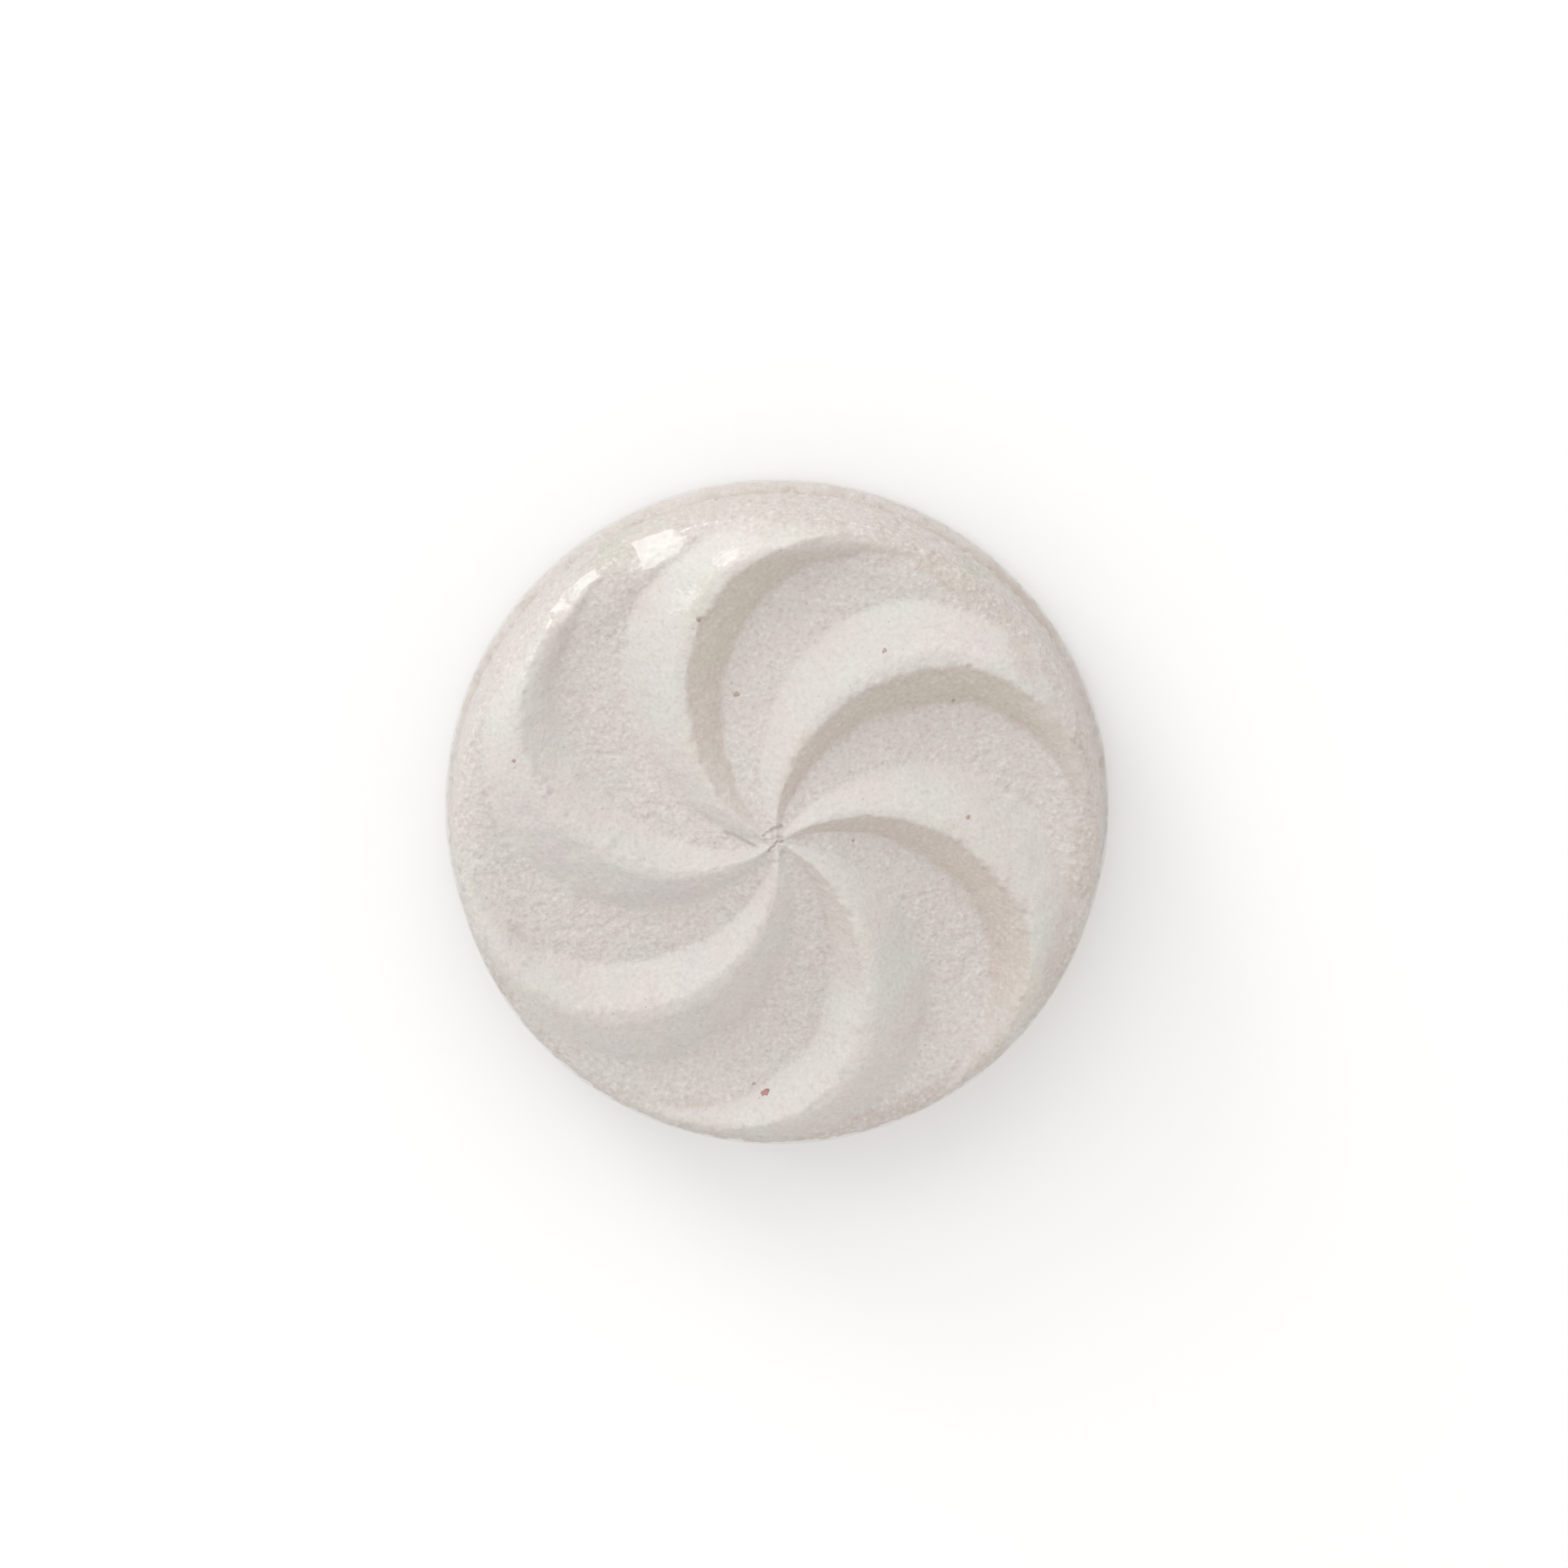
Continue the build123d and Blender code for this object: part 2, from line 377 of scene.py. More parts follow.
def soap_rings():
    """Points and faces of the soap before its grain, and which points are above its flat base."""
    mesh = RingMesh()
    mesh.centre()
    rows = [np.array([[0, 0, PUCK_HEIGHT, 1]])]

    def add(radius, height, count, standing):
        mesh.ring(count)
        angle = ring_angles(count)
        level = np.full(count, height)
        x, y = radius * np.cos(angle), radius * np.sin(angle)
        rows.append(np.stack([x, y, level, np.full(count, standing)], 1))

    for radius in np.arange(0.13, 4, 0.13):
        add(radius, float(face_height(radius)), 180, 1)
    for radius in np.arange(4, 19, 0.3):
        add(radius, float(face_height(radius)), 360, 1)
    for radius, height, _ in side_stations(19, 0.29, 0.45, 90):
        step = float(np.interp(height, LIP_HEIGHTS, LIP_STEPS))
        add(radius - step, height, 720, 1)
    for radius in (33.5, 28.0, 15.0):
        add(radius, 0.0, 720, 0)
    start, count = mesh.rings[-1]
    mesh.faces.append(tuple(start + i for i in reversed(range(count))))
    table = np.concatenate(rows)
    return table[:, :3], mesh.faces, table[:, 3]


def rim_gap(points):
    """Height of points above the rough line round the wall, which wanders."""
    turn = np.arctan2(points[:, 1], points[:, 0])
    circle = np.stack([np.cos(turn), np.sin(turn), 0 * turn], 1) * BASE_RADIUS
    height = RIM_HEIGHT
    for seed, (reach, length) in enumerate(RIM_WANDER, 51):
        height = height + reach * noise(circle, length, seed)
    return points[:, 2] - height


def coarse_share(points):
    """Where the soap is coarse and crumbly: 1 on floors and the outer edge, 0 on smooth flanks."""
    radius = np.hypot(points[:, 0], points[:, 1])
    low = np.clip(1 - ridge_share(crest_offset(points[:, 0], points[:, 1])) / 0.07, 0, 1)
    above_lip = np.clip((points[:, 2] - 3.6) / 0.8, 0, 1)
    edge = np.clip((radius - SWIRL_END + 2.5) / 1.5, 0, 1) * above_lip
    return np.maximum(low * (radius < SWIRL_END), edge)


def soap_relief(points):
    """Lumps, grains, crumbs and pits of the soap's surface, and its rough rim line."""
    radius = np.hypot(points[:, 0], points[:, 1])
    offset = crest_offset(points[:, 0], points[:, 1])
    wall_head = np.exp(-(((offset + CREST_WIDTH / 2 + 0.4) / 1.9) ** 2))
    wall_head *= np.clip(radius / 10 - 0.3, 0, 1)
    rim = np.exp(-((rim_gap(points) / 0.9) ** 2))
    pinch = np.exp(-((radius / 2.2) ** 2))
    coarse = coarse_share(points)
    edge = np.clip((radius - 33.5) / 1.5, 0, 1)
    rough = np.clip(0.15 + 0.4 * coarse + 1.5 * wall_head + 0.9 * edge + 1.2 * rim + 1.2 * pinch, 0, 1.8)
    lumps = LUMPS[0] * fractal(points, LUMPS[1], 2, 21)
    grain = GRAINS[0] * fractal(points, GRAINS[1], 2, 31) * (0.6 + 0.4 * coarse)
    crumbs = CRUMBS[0] * np.clip(noise(points, CRUMBS[1], 61) - 0.25, 0, 1) * rough
    pits = PITS[0] * np.clip(noise(points, PITS[1], 62) - 0.5, 0, 1) * rough
    knots = KNOTS[0] * np.clip(noise(points, KNOTS[1], 63), -0.2, 1) * np.exp(-((radius / 1.6) ** 2))
    broken = 0.6 + 0.6 * noise(points, 2.2, 53)
    groove = RIM_GROOVE * np.exp(-((rim_gap(points) / 0.3) ** 2)) * broken
    return lumps + grain + crumbs + knots - pits - groove


def flat_planes(points):
    """The planes to which the shoulder is pressed: middle in plan, outward direction and distance."""
    planes = []
    for azimuth, radius, facing, tilt, depth in SHOULDER_FLATS:
        place, turn, lean = math.radians(azimuth), math.radians(facing), math.radians(tilt)
        middle = np.array([math.cos(place), math.sin(place)]) * radius
        level = math.sin(lean)
        way = np.array([math.cos(turn) * level, math.sin(turn) * level, math.cos(lean)])
        near = np.hypot(*(points[:, :2] - middle).T) < FLAT_REACH / 2
        planes.append((middle, way, (points[near] @ way).max() - depth))
    return planes


def flattened(points, planes, standoff):
    """Points with the shoulder pressed nearly flat in places, where the film shines."""
    points = points.copy()
    for middle, way, edge in planes:
        away = np.hypot(*(points[:, :2] - middle).T)
        over = np.maximum(points @ way - edge + away**2 / (2 * FLAT_BEND) - standoff, 0)
        points -= (over * np.clip(2 * (1 - away / FLAT_REACH), 0, 1))[:, None] * way
    return points


def make_soap():
    """The puck: swirl, crumbly centre, chipped rim line and powdery grain."""
    points, faces, standing = soap_rings()
    x, y = points[:, 0], points[:, 1]
    upper = (points[:, 2] > SHOULDER_Z) & (standing > 0)
    points[:, 2] -= np.where(upper, swirl_drop(x, y), 0)
    normals = mesh_normals(points, faces)
    foot = np.clip(points[:, 2] / 1.5, 0, 1) * standing
    room = GRAIN_REACH + 0.7 * np.interp(points[:, 2], LIP_HEIGHTS, LIP_STEPS)
    shift = (np.minimum(soap_relief(points), room) - GRAIN_REACH) * foot
    points = points + normals * shift[:, None]
    planes = flat_planes(points)
    points = flattened(points, planes, 0)
    points[:, 2] = np.clip(points[:, 2], 0, PUCK_HEIGHT)
    made = make_object("soap_body", points, faces)
    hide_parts("soap_puck")
    return made, points, faces, planes


def mark_soap(made, points, skin):
    """Masks for the soap's material, each from 0 to 1: where it is stained, worn or touched, and where
    shade is painted.
    """
    x, y = points[:, 0], points[:, 1]
    radius = np.hypot(x, y)
    offset = crest_offset(x, y)
    gap = look_up(skin, x, y) - points[:, 2]
    patchy = np.clip(0.35 + 1.1 * noise(points, 9.0, 71), 0, 1)
    touch = np.clip(1.3 - gap / 0.12, 0, 1) * (radius < 34.5) * np.clip(radius / 5 - 0.6, 0, 1)
    add_mask(made, "touch", touch * patchy)
    add_mask(made, "coarse", coarse_share(points))
    share = ridge_share(offset)
    # Painted shade: a warm brown tint on the inner flanks, strongest on the half that faces away from
    # the light.
    inner_wall_shade = np.clip(share / 0.1, 0, 1) * np.clip((1 - share) / 0.1, 0, 1) * (offset < 0)
    shaded = np.clip(0.65 + (x + y) / 16, 0, 1)
    inner_wall_shade *= np.clip(radius / 3 - 0.3, 0, 1) * np.clip((35 - radius) / 5, 0, 1)
    add_mask(made, "inner_wall_shade", inner_wall_shade * shaded)
    # Painted shade too: olive patches on the same inner flanks, only on the half that faces away from
    # the light.
    olive_shade = np.clip(1.6 * noise(points, 12.0, 75) + 0.3, 0, 1) * np.clip((x + y) / 12, 0, 1)
    add_mask(made, "olive_shade", inner_wall_shade * olive_shade)
    streaks = np.clip(0.6 + 0.8 * noise(points, 3.0, 72), 0, 1)
    above_line = rim_gap(points)
    rim = 0.7 * np.exp(-((above_line / 1.1) ** 2)) + 0.5 * np.exp(-((above_line / 0.35) ** 2))
    add_mask(made, "rim", rim * streaks)
    foot = np.exp(-(((offset + CREST_WIDTH / 2 + INNER_FLANK) / 1.3) ** 2))
    foot *= np.clip(1.7 * noise(points, 2.6, 73) - 0.2, 0, 1) * (radius < 34)
    add_mask(made, "foot", np.maximum(foot, crack_drop(x, y) / CRACK_DEPTH))
    turn = np.degrees(np.arctan2(y, x))
    # Grey-green patches in a band round the wall, about 6 mm above the rim line.
    grey_green_patch = np.zeros_like(x)
    for azimuth, spread in GREY_GREEN_PLACES:
        away = (turn - azimuth + 180) % 360 - 180
        grey_green_patch = np.maximum(grey_green_patch, np.exp(-((away / spread) ** 2)))
    band = np.exp(-(((points[:, 2] - RIM_HEIGHT - 6) / 5) ** 2)) * (radius > 33)
    add_mask(made, "grey_green_patch", grey_green_patch * band * np.clip(0.6 + 1.4 * noise(points, 3.0, 74), 0, 1))
    add_mask(made, "wall", np.clip((SHOULDER_Z - points[:, 2]) / 4, 0, 1) * (radius > 34))
    blotches = np.clip(0.6 + 0.6 * noise(points, 5.0, 76) + 0.6 * noise(points, 1.3, 77), 0, 1)
    ragged = radius + 0.9 * noise(points, 2.0, 78) + 0.035 * x
    browner = np.clip(0.75 + x / 60, 0, 1)
    add_mask(made, "edge", np.clip((ragged - 33) / 1.2, 0, 1) * blotches * browner)


# ---------------------------------------------------------------- film

def height_map(points, faces):
    """Height of the soap's surface over each point of the square grid, seen from above."""
    tree = BVHTree.FromPolygons(points.tolist(), faces)
    line = np.arange(GRID_COUNT) * GRID_STEP - GRID_HALF
    heights = np.zeros((GRID_COUNT, GRID_COUNT))
    down = Vector((0, 0, -1))
    for j, y in enumerate(line):
        for i, x in enumerate(line):
            if x * x + y * y < BASE_RADIUS**2:
                hit = tree.ray_cast(Vector((x, y, 40)), down)[0]
                heights[j, i] = hit.z if hit else 0
    return heights


def stretched_film(soap):
    """Heights of a taut skin laid over a height map, on the same grid."""
    line = np.arange(GRID_COUNT) * GRID_STEP - GRID_HALF
    x, y = np.meshgrid(line, line)
    radius = np.hypot(x, y)
    over = face_height(radius) + FILM_CLEARANCE
    held = radius > FILM_HELD
    floor = np.where(held, over, soap + FILM_CLEARANCE)
    skin = over.copy()
    for coarse, rounds in ((4, 500), (2, 400), (1, 260)):
        part = skin[::coarse, ::coarse].copy()
        rest = floor[::coarse, ::coarse]
        fixed = held[::coarse, ::coarse][1:-1, 1:-1]
        for _ in range(rounds):
            middle = (part[2:, 1:-1] + part[:-2, 1:-1] + part[1:-1, 2:] + part[1:-1, :-2]) / 4
            middle = np.maximum(middle, rest[1:-1, 1:-1])
            part[1:-1, 1:-1] = np.where(fixed, part[1:-1, 1:-1], middle)
        full = np.arange(GRID_COUNT) / coarse
        skin = np.maximum(between(part, *np.meshgrid(full, full)), floor)
    return skin


def between(grid, u, v):
    """Values of a grid between its points, at places counted in its steps."""
    u = np.clip(u, 0, grid.shape[1] - 1.001)
    v = np.clip(v, 0, grid.shape[0] - 1.001)
    i, j = u.astype(int), v.astype(int)
    a, b = u - i, v - j
    low = grid[j, i] * (1 - a) + grid[j, i + 1] * a
    high = grid[j + 1, i] * (1 - a) + grid[j + 1, i + 1] * a
    return low * (1 - b) + high * b


def look_up(grid, x, y):
    """Values of the square grid over places in plan."""
    return between(grid, (x + GRID_HALF) / GRID_STEP, (y + GRID_HALF) / GRID_STEP)


def film_rings(skin):
    """Points, faces and outward directions of the film, before its ripples."""
    mesh = RingMesh()
    mesh.centre()
    top = float(look_up(skin, np.zeros(1), np.zeros(1))[0])
    rows = [np.array([[0, 0, top]])]

    def add(radius, height, count, slope):
        mesh.ring(count)
        angle = ring_angles(count)
        spread = radius + FILM_CLEARANCE * math.sin(slope)
        x, y = spread * np.cos(angle), spread * np.sin(angle)
        z = np.full(count, height + FILM_CLEARANCE * math.cos(slope))
        if radius < FILM_HELD and slope < math.pi / 2:
            z = look_up(skin, x, y)
        rows.append(np.stack([x, y, z], 1))

    for radius in np.arange(0.4, 9, 0.4):
        add(radius, 0, 180, 0)
    for radius in np.arange(9, 19, 0.35):
        add(radius, 0, 360, 0)
    for radius, height, slope in side_stations(19, 0.3, 0.5, FILM_HEM_ANGLE):
        add(radius, height, 720, slope)
    return np.concatenate(rows), mesh.faces


def make_film(skin, planes):
    """The clear skin, bridging the hollows and drawn round the bottom edge."""
    points, faces = film_rings(skin)
    normals = mesh_normals(points, faces)
    turn = np.arctan2(points[:, 1], points[:, 0])
    low = np.clip((SHOULDER_Z + 2 - points[:, 2]) / 6, 0, 1)
    around = np.stack([np.cos(turn), np.sin(turn), 0.02 * points[:, 2]], 1)
    pleats = PLEAT_DEPTH * np.clip(noise(around * BASE_RADIUS, 2.6, 81) + 0.2, 0, 1) * low
    ripple = RIPPLE_DEPTH * (fractal(points, 4.5, 2, 82) + 1.2) * (1 - low)
    points = points + normals * (pleats + ripple)[:, None]
    points = flattened(points, planes, FILM_OFF_FLATS)
    points[:, 2] = np.clip(points[:, 2], 0, FILM_HIGH[2])
    spread = np.hypot(points[:, 0], points[:, 1])
    points[:, :2] *= np.minimum(1, FILM_HIGH[0] / np.maximum(spread, 1e-6))[:, None]
    made = make_object("clear_film", points, faces)
    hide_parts("shrink_film")
    return made


# ---------------------------------------------------------------- chips

def chip_places(node):
    """Middle in plan and width of each separate chip of a CAD node."""
    corners = np.array([vertex.co[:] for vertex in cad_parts[node].data.vertices]) / MM
    places = []
    while len(corners):
        near = np.hypot(*(corners[:, :2] - corners[0, :2]).T) < CHIP_APART
        cluster = corners[near, :2]
        places.append((cluster.mean(0), np.ptp(cluster, axis=0).mean()))
        corners = corners[~near]
    return places


def one_chip(tree, place, width, seed, tail):
    """A flake sunk in the soap: points and faces, with a bulging top and a ragged edge."""
    random = np.random.default_rng(seed)
    hit, normal = tree.ray_cast(Vector((place[0], place[1], 40)), Vector((0, 0, -1)))[:2]
    across = normal.orthogonal().normalized()
    along = normal.cross(across)
    turn = ring_angles(CHIP_CORNERS) + random.uniform(0, math.tau)
    reach = width / 2 * random.uniform(*CHIP_RAGGED, CHIP_CORNERS)
    flat = np.stack([np.cos(turn) * reach, np.sin(turn) * reach * random.uniform(0.7, 1)], 1)
    if tail:
        flat[np.argmax(turn % math.tau)] *= tail
    rows = [(0, CHIP_BULGE)] + [(0.55, CHIP_BULGE * 0.9), (1, -0.01), (0.8, -CHIP_SUNK)]
    points = []
    for share, rise in rows:
        for u, v in flat * share if share else [(0, 0)]:
            lift = rise + random.uniform(-0.015, 0.015)
            points.append(hit + across * u + along * v + normal * lift)
    faces = [(0, 1 + i, 1 + (i + 1) % CHIP_CORNERS) for i in range(CHIP_CORNERS)]
    for ring in (0, 1):
        start = 1 + ring * CHIP_CORNERS
        for i in range(CHIP_CORNERS):
            j = (i + 1) % CHIP_CORNERS
            faces.append((start + i, start + CHIP_CORNERS + i, start + CHIP_CORNERS + j, start + j))
    faces.append(tuple(1 + 2 * CHIP_CORNERS + i for i in reversed(range(CHIP_CORNERS))))
    return points, faces


def make_chips(name, node, tree, seed, tail=0):
    """The chips of one kind, laid in the soap's face where the CAD node's are."""
    points, faces, darkness = [], [], []
    for place, width in chip_places(node):
        seed += 1
        chip_points, chip_faces = one_chip(tree, place, width, seed, tail)
        faces += [tuple(len(points) + k for k in face) for face in chip_faces]
        points += [tuple(p) for p in chip_points]
        darkness += [1.25 - width] * len(chip_points)
    made = make_object(name, np.array(points), faces)
    add_mask(made, "darkness", np.array(darkness))
    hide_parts(node)
    return made


# ---------------------------------------------------------------- materials

# Colours are linear red, green and blue
SOAP_PINK = (0.594, 0.545, 0.52)
SOAP_CREAM = (0.585, 0.565, 0.536)
SOAP_LILAC = (0.577, 0.527, 0.536)
SOAP_TINTS = (  # mask, colour and how strongly it is laid on
    ("coarse", (0.55, 0.5, 0.465), 0.35),
    ("wall", (0.55, 0.515, 0.475), 0.4),
    ("edge", (0.525, 0.463, 0.423), 0.8),
    # Painted shade: warm brown and olive tints on the inner flanks that face away from the light.
    ("inner_wall_shade", (0.525, 0.457, 0.408), 0.8),
    ("olive_shade", (0.52, 0.5, 0.41), 0.3),
    ("touch", (0.6, 0.57, 0.48), 0.45),
    ("grey_green_patch", (0.46, 0.45, 0.38), 0.85),
)
SOAP_SHADE = (0.6, 0.52, 0.46)
SOAP_POWDER = (0.69, 0.66, 0.62)
SOAP_BROWN = (0.42, 0.32, 0.26)
SOAP_RED = (0.45, 0.31, 0.27)
SOAP_SPECK = (0.36, 0.25, 0.2)
RED_CHIP = (0.42, 0.22, 0.21)
RED_CHIP_DARK = (0.32, 0.15, 0.15)
BROWN_CHIP = (0.46, 0.33, 0.27)
BROWN_CHIP_DARK = (0.38, 0.27, 0.23)


def new_material(name):
    material = bpy.data.materials.new(name)
    material.use_nodes = True
    nodes = material.node_tree.nodes
    shader = next(n for n in nodes if n.type == "BSDF_PRINCIPLED")
    return material, nodes, material.node_tree.links, shader


def texture(tree, kind, size, **settings):
    """A procedural texture node whose features are about size millimetres across."""
    nodes, links = tree.nodes, tree.links
    made = nodes.new(kind)
    place = next((n for n in nodes if n.type == "TEX_COORD"), None) or nodes.new("ShaderNodeTexCoord")
    links.new(place.outputs["Object"], made.inputs["Vector"])
    made.inputs["Scale"].default_value = 1 / (size * MM)
    for name, value in settings.items():
        made.inputs[name].default_value = value
    return made


def spread(tree, source, low, high, new_low=0.0, new_high=1.0):
    """A node that stretches a value from one range to another, and stops it there."""
    made = tree.nodes.new("ShaderNodeMapRange")
    tree.links.new(source, made.inputs["Value"])
    made.inputs["From Min"].default_value = low
    made.inputs["From Max"].default_value = high
    made.inputs["To Min"].default_value = new_low
    made.inputs["To Max"].default_value = new_high
    return made.outputs["Result"]


def tinted(tree, base, colour, share, kind="MIX"):
    """A node that mixes a colour into another by a share from a texture or a mask."""
    made = tree.nodes.new("ShaderNodeMix")
    made.data_type = "RGBA"
    made.blend_type = kind
    tree.links.new(share, made.inputs["Factor"])
    if isinstance(base, tuple):
        made.inputs["A"].default_value = (*base, 1)
    else:
        tree.links.new(base, made.inputs["A"])
    made.inputs["B"].default_value = (*colour, 1)
    return next(o for o in made.outputs if o.type == "RGBA")


def scaled(tree, source, by):
    """A node that multiplies two values."""
    made = tree.nodes.new("ShaderNodeMath")
    made.operation = "MULTIPLY"
    tree.links.new(source, made.inputs[0])
    tree.links.new(by, made.inputs[1])
    return made.outputs[0]


def mask(tree, name, strength=1.0):
    """A mask stored on the mesh, scaled."""
    made = tree.nodes.new("ShaderNodeAttribute")
    made.attribute_name = name
    return spread(tree, made.outputs["Fac"], 0, 1, 0, strength)


def soap_material():
    """Cream soap: smooth pale flanks, coarse pinkish floors, brown specks and stained creases, with
    painted shade on the inner flanks that face away from the light.
    """
    material, nodes, links, shader = new_material("soap")
    tree = material.node_tree
    clouds = texture(tree, "ShaderNodeTexNoise", 8, Detail=4.0, Roughness=0.6)
    colour = tinted(tree, SOAP_PINK, SOAP_CREAM, spread(tree, clouds.outputs["Fac"], 0.38, 0.62))
    lilac = texture(tree, "ShaderNodeTexNoise", 7, Detail=4.0, Distortion=0.4)
    colour = tinted(tree, colour, SOAP_LILAC, spread(tree, lilac.outputs["Fac"], 0.55, 0.72, 0, 0.6))
    for name, tint, strength in SOAP_TINTS:
        colour = tinted(tree, colour, tint, mask(tree, name, strength))
    powder = texture(tree, "ShaderNodeTexNoise", 0.5, Detail=3.0, Roughness=0.6)
    coarse = mask(tree, "coarse")
    dark = spread(tree, powder.outputs["Fac"], 0.46, 0.34, 0, 0.3)
    dark = scaled(tree, dark, spread(tree, coarse, 0, 1, 0.6, 0.9))
    colour = tinted(tree, colour, SOAP_SHADE, dark, "MULTIPLY")
    pale = spread(tree, powder.outputs["Fac"], 0.53, 0.68, 0, 0.7)
    pale = scaled(tree, pale, spread(tree, coarse, 0, 1, 0.55, 0.9))
    colour = tinted(tree, colour, SOAP_POWDER, pale)
    colour = tinted(tree, colour, SOAP_BROWN, mask(tree, "rim", 0.6))
    colour = tinted(tree, colour, SOAP_RED, mask(tree, "foot", 0.35))
    specks = texture(tree, "ShaderNodeTexVoronoi", 2.0, Randomness=1.0)
    dots = spread(tree, specks.outputs["Distance"], 0.07, 0.03, 0, 0.6)
    colour = tinted(tree, colour, SOAP_SPECK, dots)
    links.new(colour, shader.inputs["Base Color"])
    shader.inputs["Roughness"].default_value = 0.8
    shader.inputs["Specular IOR Level"].default_value = 0.3
    grains = texture(tree, "ShaderNodeTexVoronoi", 0.42, Randomness=1.0)
    grains.feature = "SMOOTH_F1"
    height = nodes.new("ShaderNodeMath")
    height.operation = "MULTIPLY_ADD"
    height.inputs[1].default_value = -0.6
    links.new(grains.outputs["Distance"], height.inputs[0])
    links.new(powder.outputs["Fac"], height.inputs[2])
    bump = nodes.new("ShaderNodeBump")
    bump.inputs["Strength"].default_value = 0.7
    bump.inputs["Distance"].default_value = 0.22 * MM
    links.new(scaled(tree, height.outputs[0], spread(tree, coarse, 0, 1, 0.6, 1)), bump.inputs["Height"])
    links.new(bump.outputs["Normal"], shader.inputs["Normal"])
    return material


def chip_material(name, colour, dark_colour):
    """A dried plant chip: fibrous and slightly glossy, and darker the smaller it is."""
    material, nodes, links, shader = new_material(name)
    tree = material.node_tree
    fibres = texture(tree, "ShaderNodeTexNoise", 0.25, Detail=4.0)
    mixed = tinted(tree, colour, dark_colour, spread(tree, fibres.outputs["Fac"], 0.4, 0.65))
    mixed = tinted(tree, mixed, dark_colour, mask(tree, "darkness", 0.9))
    links.new(mixed, shader.inputs["Base Color"])
    shader.inputs["Roughness"].default_value = 0.5
    bump = nodes.new("ShaderNodeBump")
    bump.inputs["Strength"].default_value = 0.5
    bump.inputs["Distance"].default_value = 0.05 * MM
    links.new(fibres.outputs["Fac"], bump.inputs["Height"])
    links.new(bump.outputs["Normal"], shader.inputs["Normal"])
    return material


FILM_SHINE_SQUARE_ON = 0.05
FILM_SHINE_MORE_AT_EDGE = 0.3


def film_material():
    """Clear film: what is behind shows through, under a reflection broken by small wrinkles."""
    material, nodes, links, _ = new_material("film")
    output = next(n for n in nodes if n.type == "OUTPUT_MATERIAL")
    clear = nodes.new("ShaderNodeBsdfTransparent")
    shine = nodes.new("ShaderNodeBsdfGlossy")
    shine.inputs["Roughness"].default_value = 0.12
    facing = nodes.new("ShaderNodeLayerWeight")
    facing.inputs["Blend"].default_value = 0.5
    edge = nodes.new("ShaderNodeMath")
    edge.operation = "POWER"
    edge.inputs[1].default_value = 5
    share = nodes.new("ShaderNodeMath")
    share.operation = "MULTIPLY_ADD"
    share.inputs[1].default_value = FILM_SHINE_MORE_AT_EDGE
    share.inputs[2].default_value = FILM_SHINE_SQUARE_ON
    mix = nodes.new("ShaderNodeMixShader")
    links.new(facing.outputs["Facing"], edge.inputs[0])
    links.new(edge.outputs[0], share.inputs[0])
    links.new(share.outputs[0], mix.inputs[0])
    links.new(clear.outputs[0], mix.inputs[1])
    links.new(shine.outputs[0], mix.inputs[2])
    links.new(mix.outputs[0], output.inputs["Surface"])
    wrinkles = texture(material.node_tree, "ShaderNodeTexNoise", 0.9, Detail=3.0, Roughness=0.6)
    bump = nodes.new("ShaderNodeBump")
    bump.inputs["Strength"].default_value = 0.5
    bump.inputs["Distance"].default_value = 0.1 * MM
    links.new(wrinkles.outputs["Fac"], bump.inputs["Height"])
    links.new(bump.outputs["Normal"], shine.inputs["Normal"])
    return material


def floor_material():
    material, _, _, shader = new_material("floor")
    shader.inputs["Base Color"].default_value = (0.86, 0.86, 0.86, 1)
    shader.inputs["Roughness"].default_value = 0.9
    return material


# ---------------------------------------------------------------- stage

CAMERA_TILT = 11.5
CAMERA_DISTANCE = 430.0
CAMERA_AIM = (0.77, 3.5, 5.0)
FRAME_WIDTH = 175.4  # what the picture spans at the point the camera aims at
SENSOR = 36.0
FLOOR_DROP = 0.02  # keeps the floor off the puck's base


def add_camera():
    data = bpy.data.cameras.new("camera")
    data.sensor_width = SENSOR
    data.lens = SENSOR * CAMERA_DISTANCE / FRAME_WIDTH
    data.clip_start = 0.01
    camera = bpy.data.objects.new("camera", data)
    bpy.context.scene.collection.objects.link(camera)
    tilt = math.radians(CAMERA_TILT)
    back = np.array([0, math.sin(tilt), math.cos(tilt)])
    camera.location = (np.array(CAMERA_AIM) + CAMERA_DISTANCE * back) * MM
    camera.rotation_euler = (-tilt, 0, 0)
    bpy.context.scene.camera = camera


# Direction, height above level, width and height, power and colour of each light
LIGHT_DISTANCE = 2400.0
LIGHTS = (
    ("window", 127, 18, (1050, 900), 13.5, (0.97, 0.99, 1)),
    ("strip", 150, 36, (260, 1500), 3.5, (1, 1, 1)),
    ("key_card", 100, 37, (2700, 1800), 13.0, (0.95, 0.985, 1)),
    ("left_card", 163, 10, (1700, 700), 2.5, (0.93, 0.97, 1)),
)
WORLD_COLOUR = (1, 0.988, 0.972, 1)
WORLD_STRENGTH = 0.99


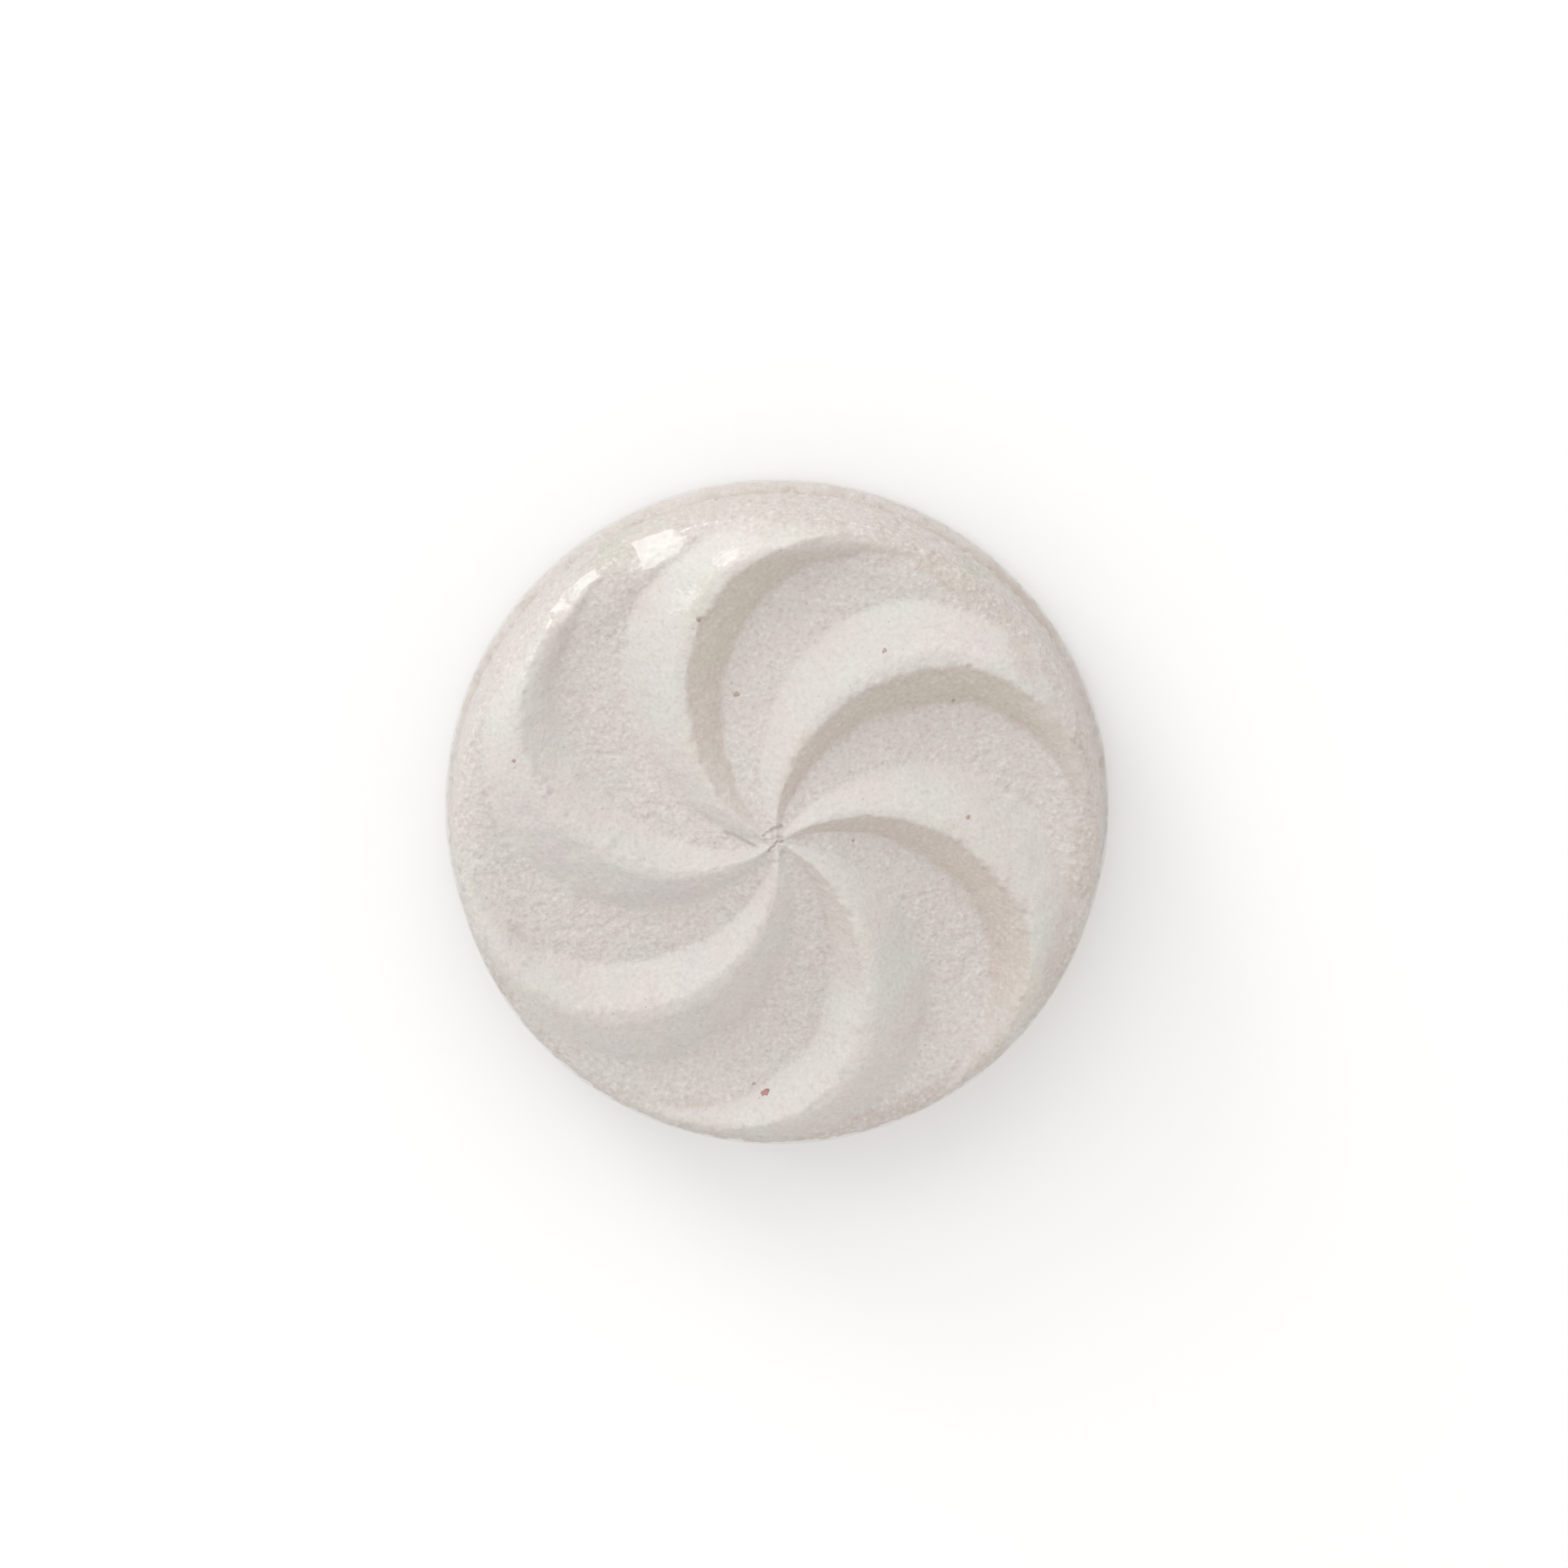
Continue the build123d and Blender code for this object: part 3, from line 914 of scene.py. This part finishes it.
def add_light(name, azimuth, elevation, size, power, colour):
    """A soft elliptical light aimed at the puck from a direction."""
    data = bpy.data.lights.new(name, "AREA")
    data.shape = "ELLIPSE"
    data.size, data.size_y = size[0] * MM, size[1] * MM
    data.energy = power
    data.color = colour
    light = bpy.data.objects.new(name, data)
    bpy.context.scene.collection.objects.link(light)
    turn, rise = math.radians(azimuth), math.radians(elevation)
    way = np.array([math.cos(turn) * math.cos(rise), math.sin(turn) * math.cos(rise), math.sin(rise)])
    light.location = (way * LIGHT_DISTANCE + np.array([0, 0, PUCK_HEIGHT / 2])) * MM
    light.rotation_euler = (math.radians(90 - elevation), 0, math.radians(azimuth + 90))


def add_floor():
    half = 3000.0
    low = -FLOOR_DROP
    points = np.array([[-half, -half, low], [half, -half, low], [half, half, low], [-half, half, low]])
    mesh = bpy.data.meshes.new("floor")
    mesh.from_pydata((points * MM).tolist(), [], [(0, 1, 2, 3)])
    floor = bpy.data.objects.new("floor", mesh)
    bpy.context.scene.collection.objects.link(floor)
    floor.data.materials.append(floor_material())


def set_world():
    world = bpy.data.worlds.new("studio")
    world.use_nodes = True
    background = world.node_tree.nodes["Background"]
    background.inputs["Color"].default_value = WORLD_COLOUR
    background.inputs["Strength"].default_value = WORLD_STRENGTH
    bpy.context.scene.world = world
    bpy.context.scene.view_settings.view_transform = "Standard"


soap, soap_points, soap_faces, flats = make_soap()
soap_tree = BVHTree.FromPolygons(soap_points.tolist(), soap_faces)
film_skin = stretched_film(height_map(soap_points, soap_faces))
mark_soap(soap, soap_points, film_skin)
film = make_film(film_skin, flats)
red = make_chips("red_petal_chip", "red_fleck", soap_tree, 100, RED_CHIP_TAIL)
brown = make_chips("brown_spice_chips", "brown_flecks", soap_tree, 200)
soap.data.materials.append(soap_material())
film.data.materials.append(film_material())
red.data.materials.append(chip_material("red_chip", RED_CHIP, RED_CHIP_DARK))
brown.data.materials.append(chip_material("brown_chip", BROWN_CHIP, BROWN_CHIP_DARK))
add_camera()
for light in LIGHTS:
    add_light(*light)
add_floor()
set_world()
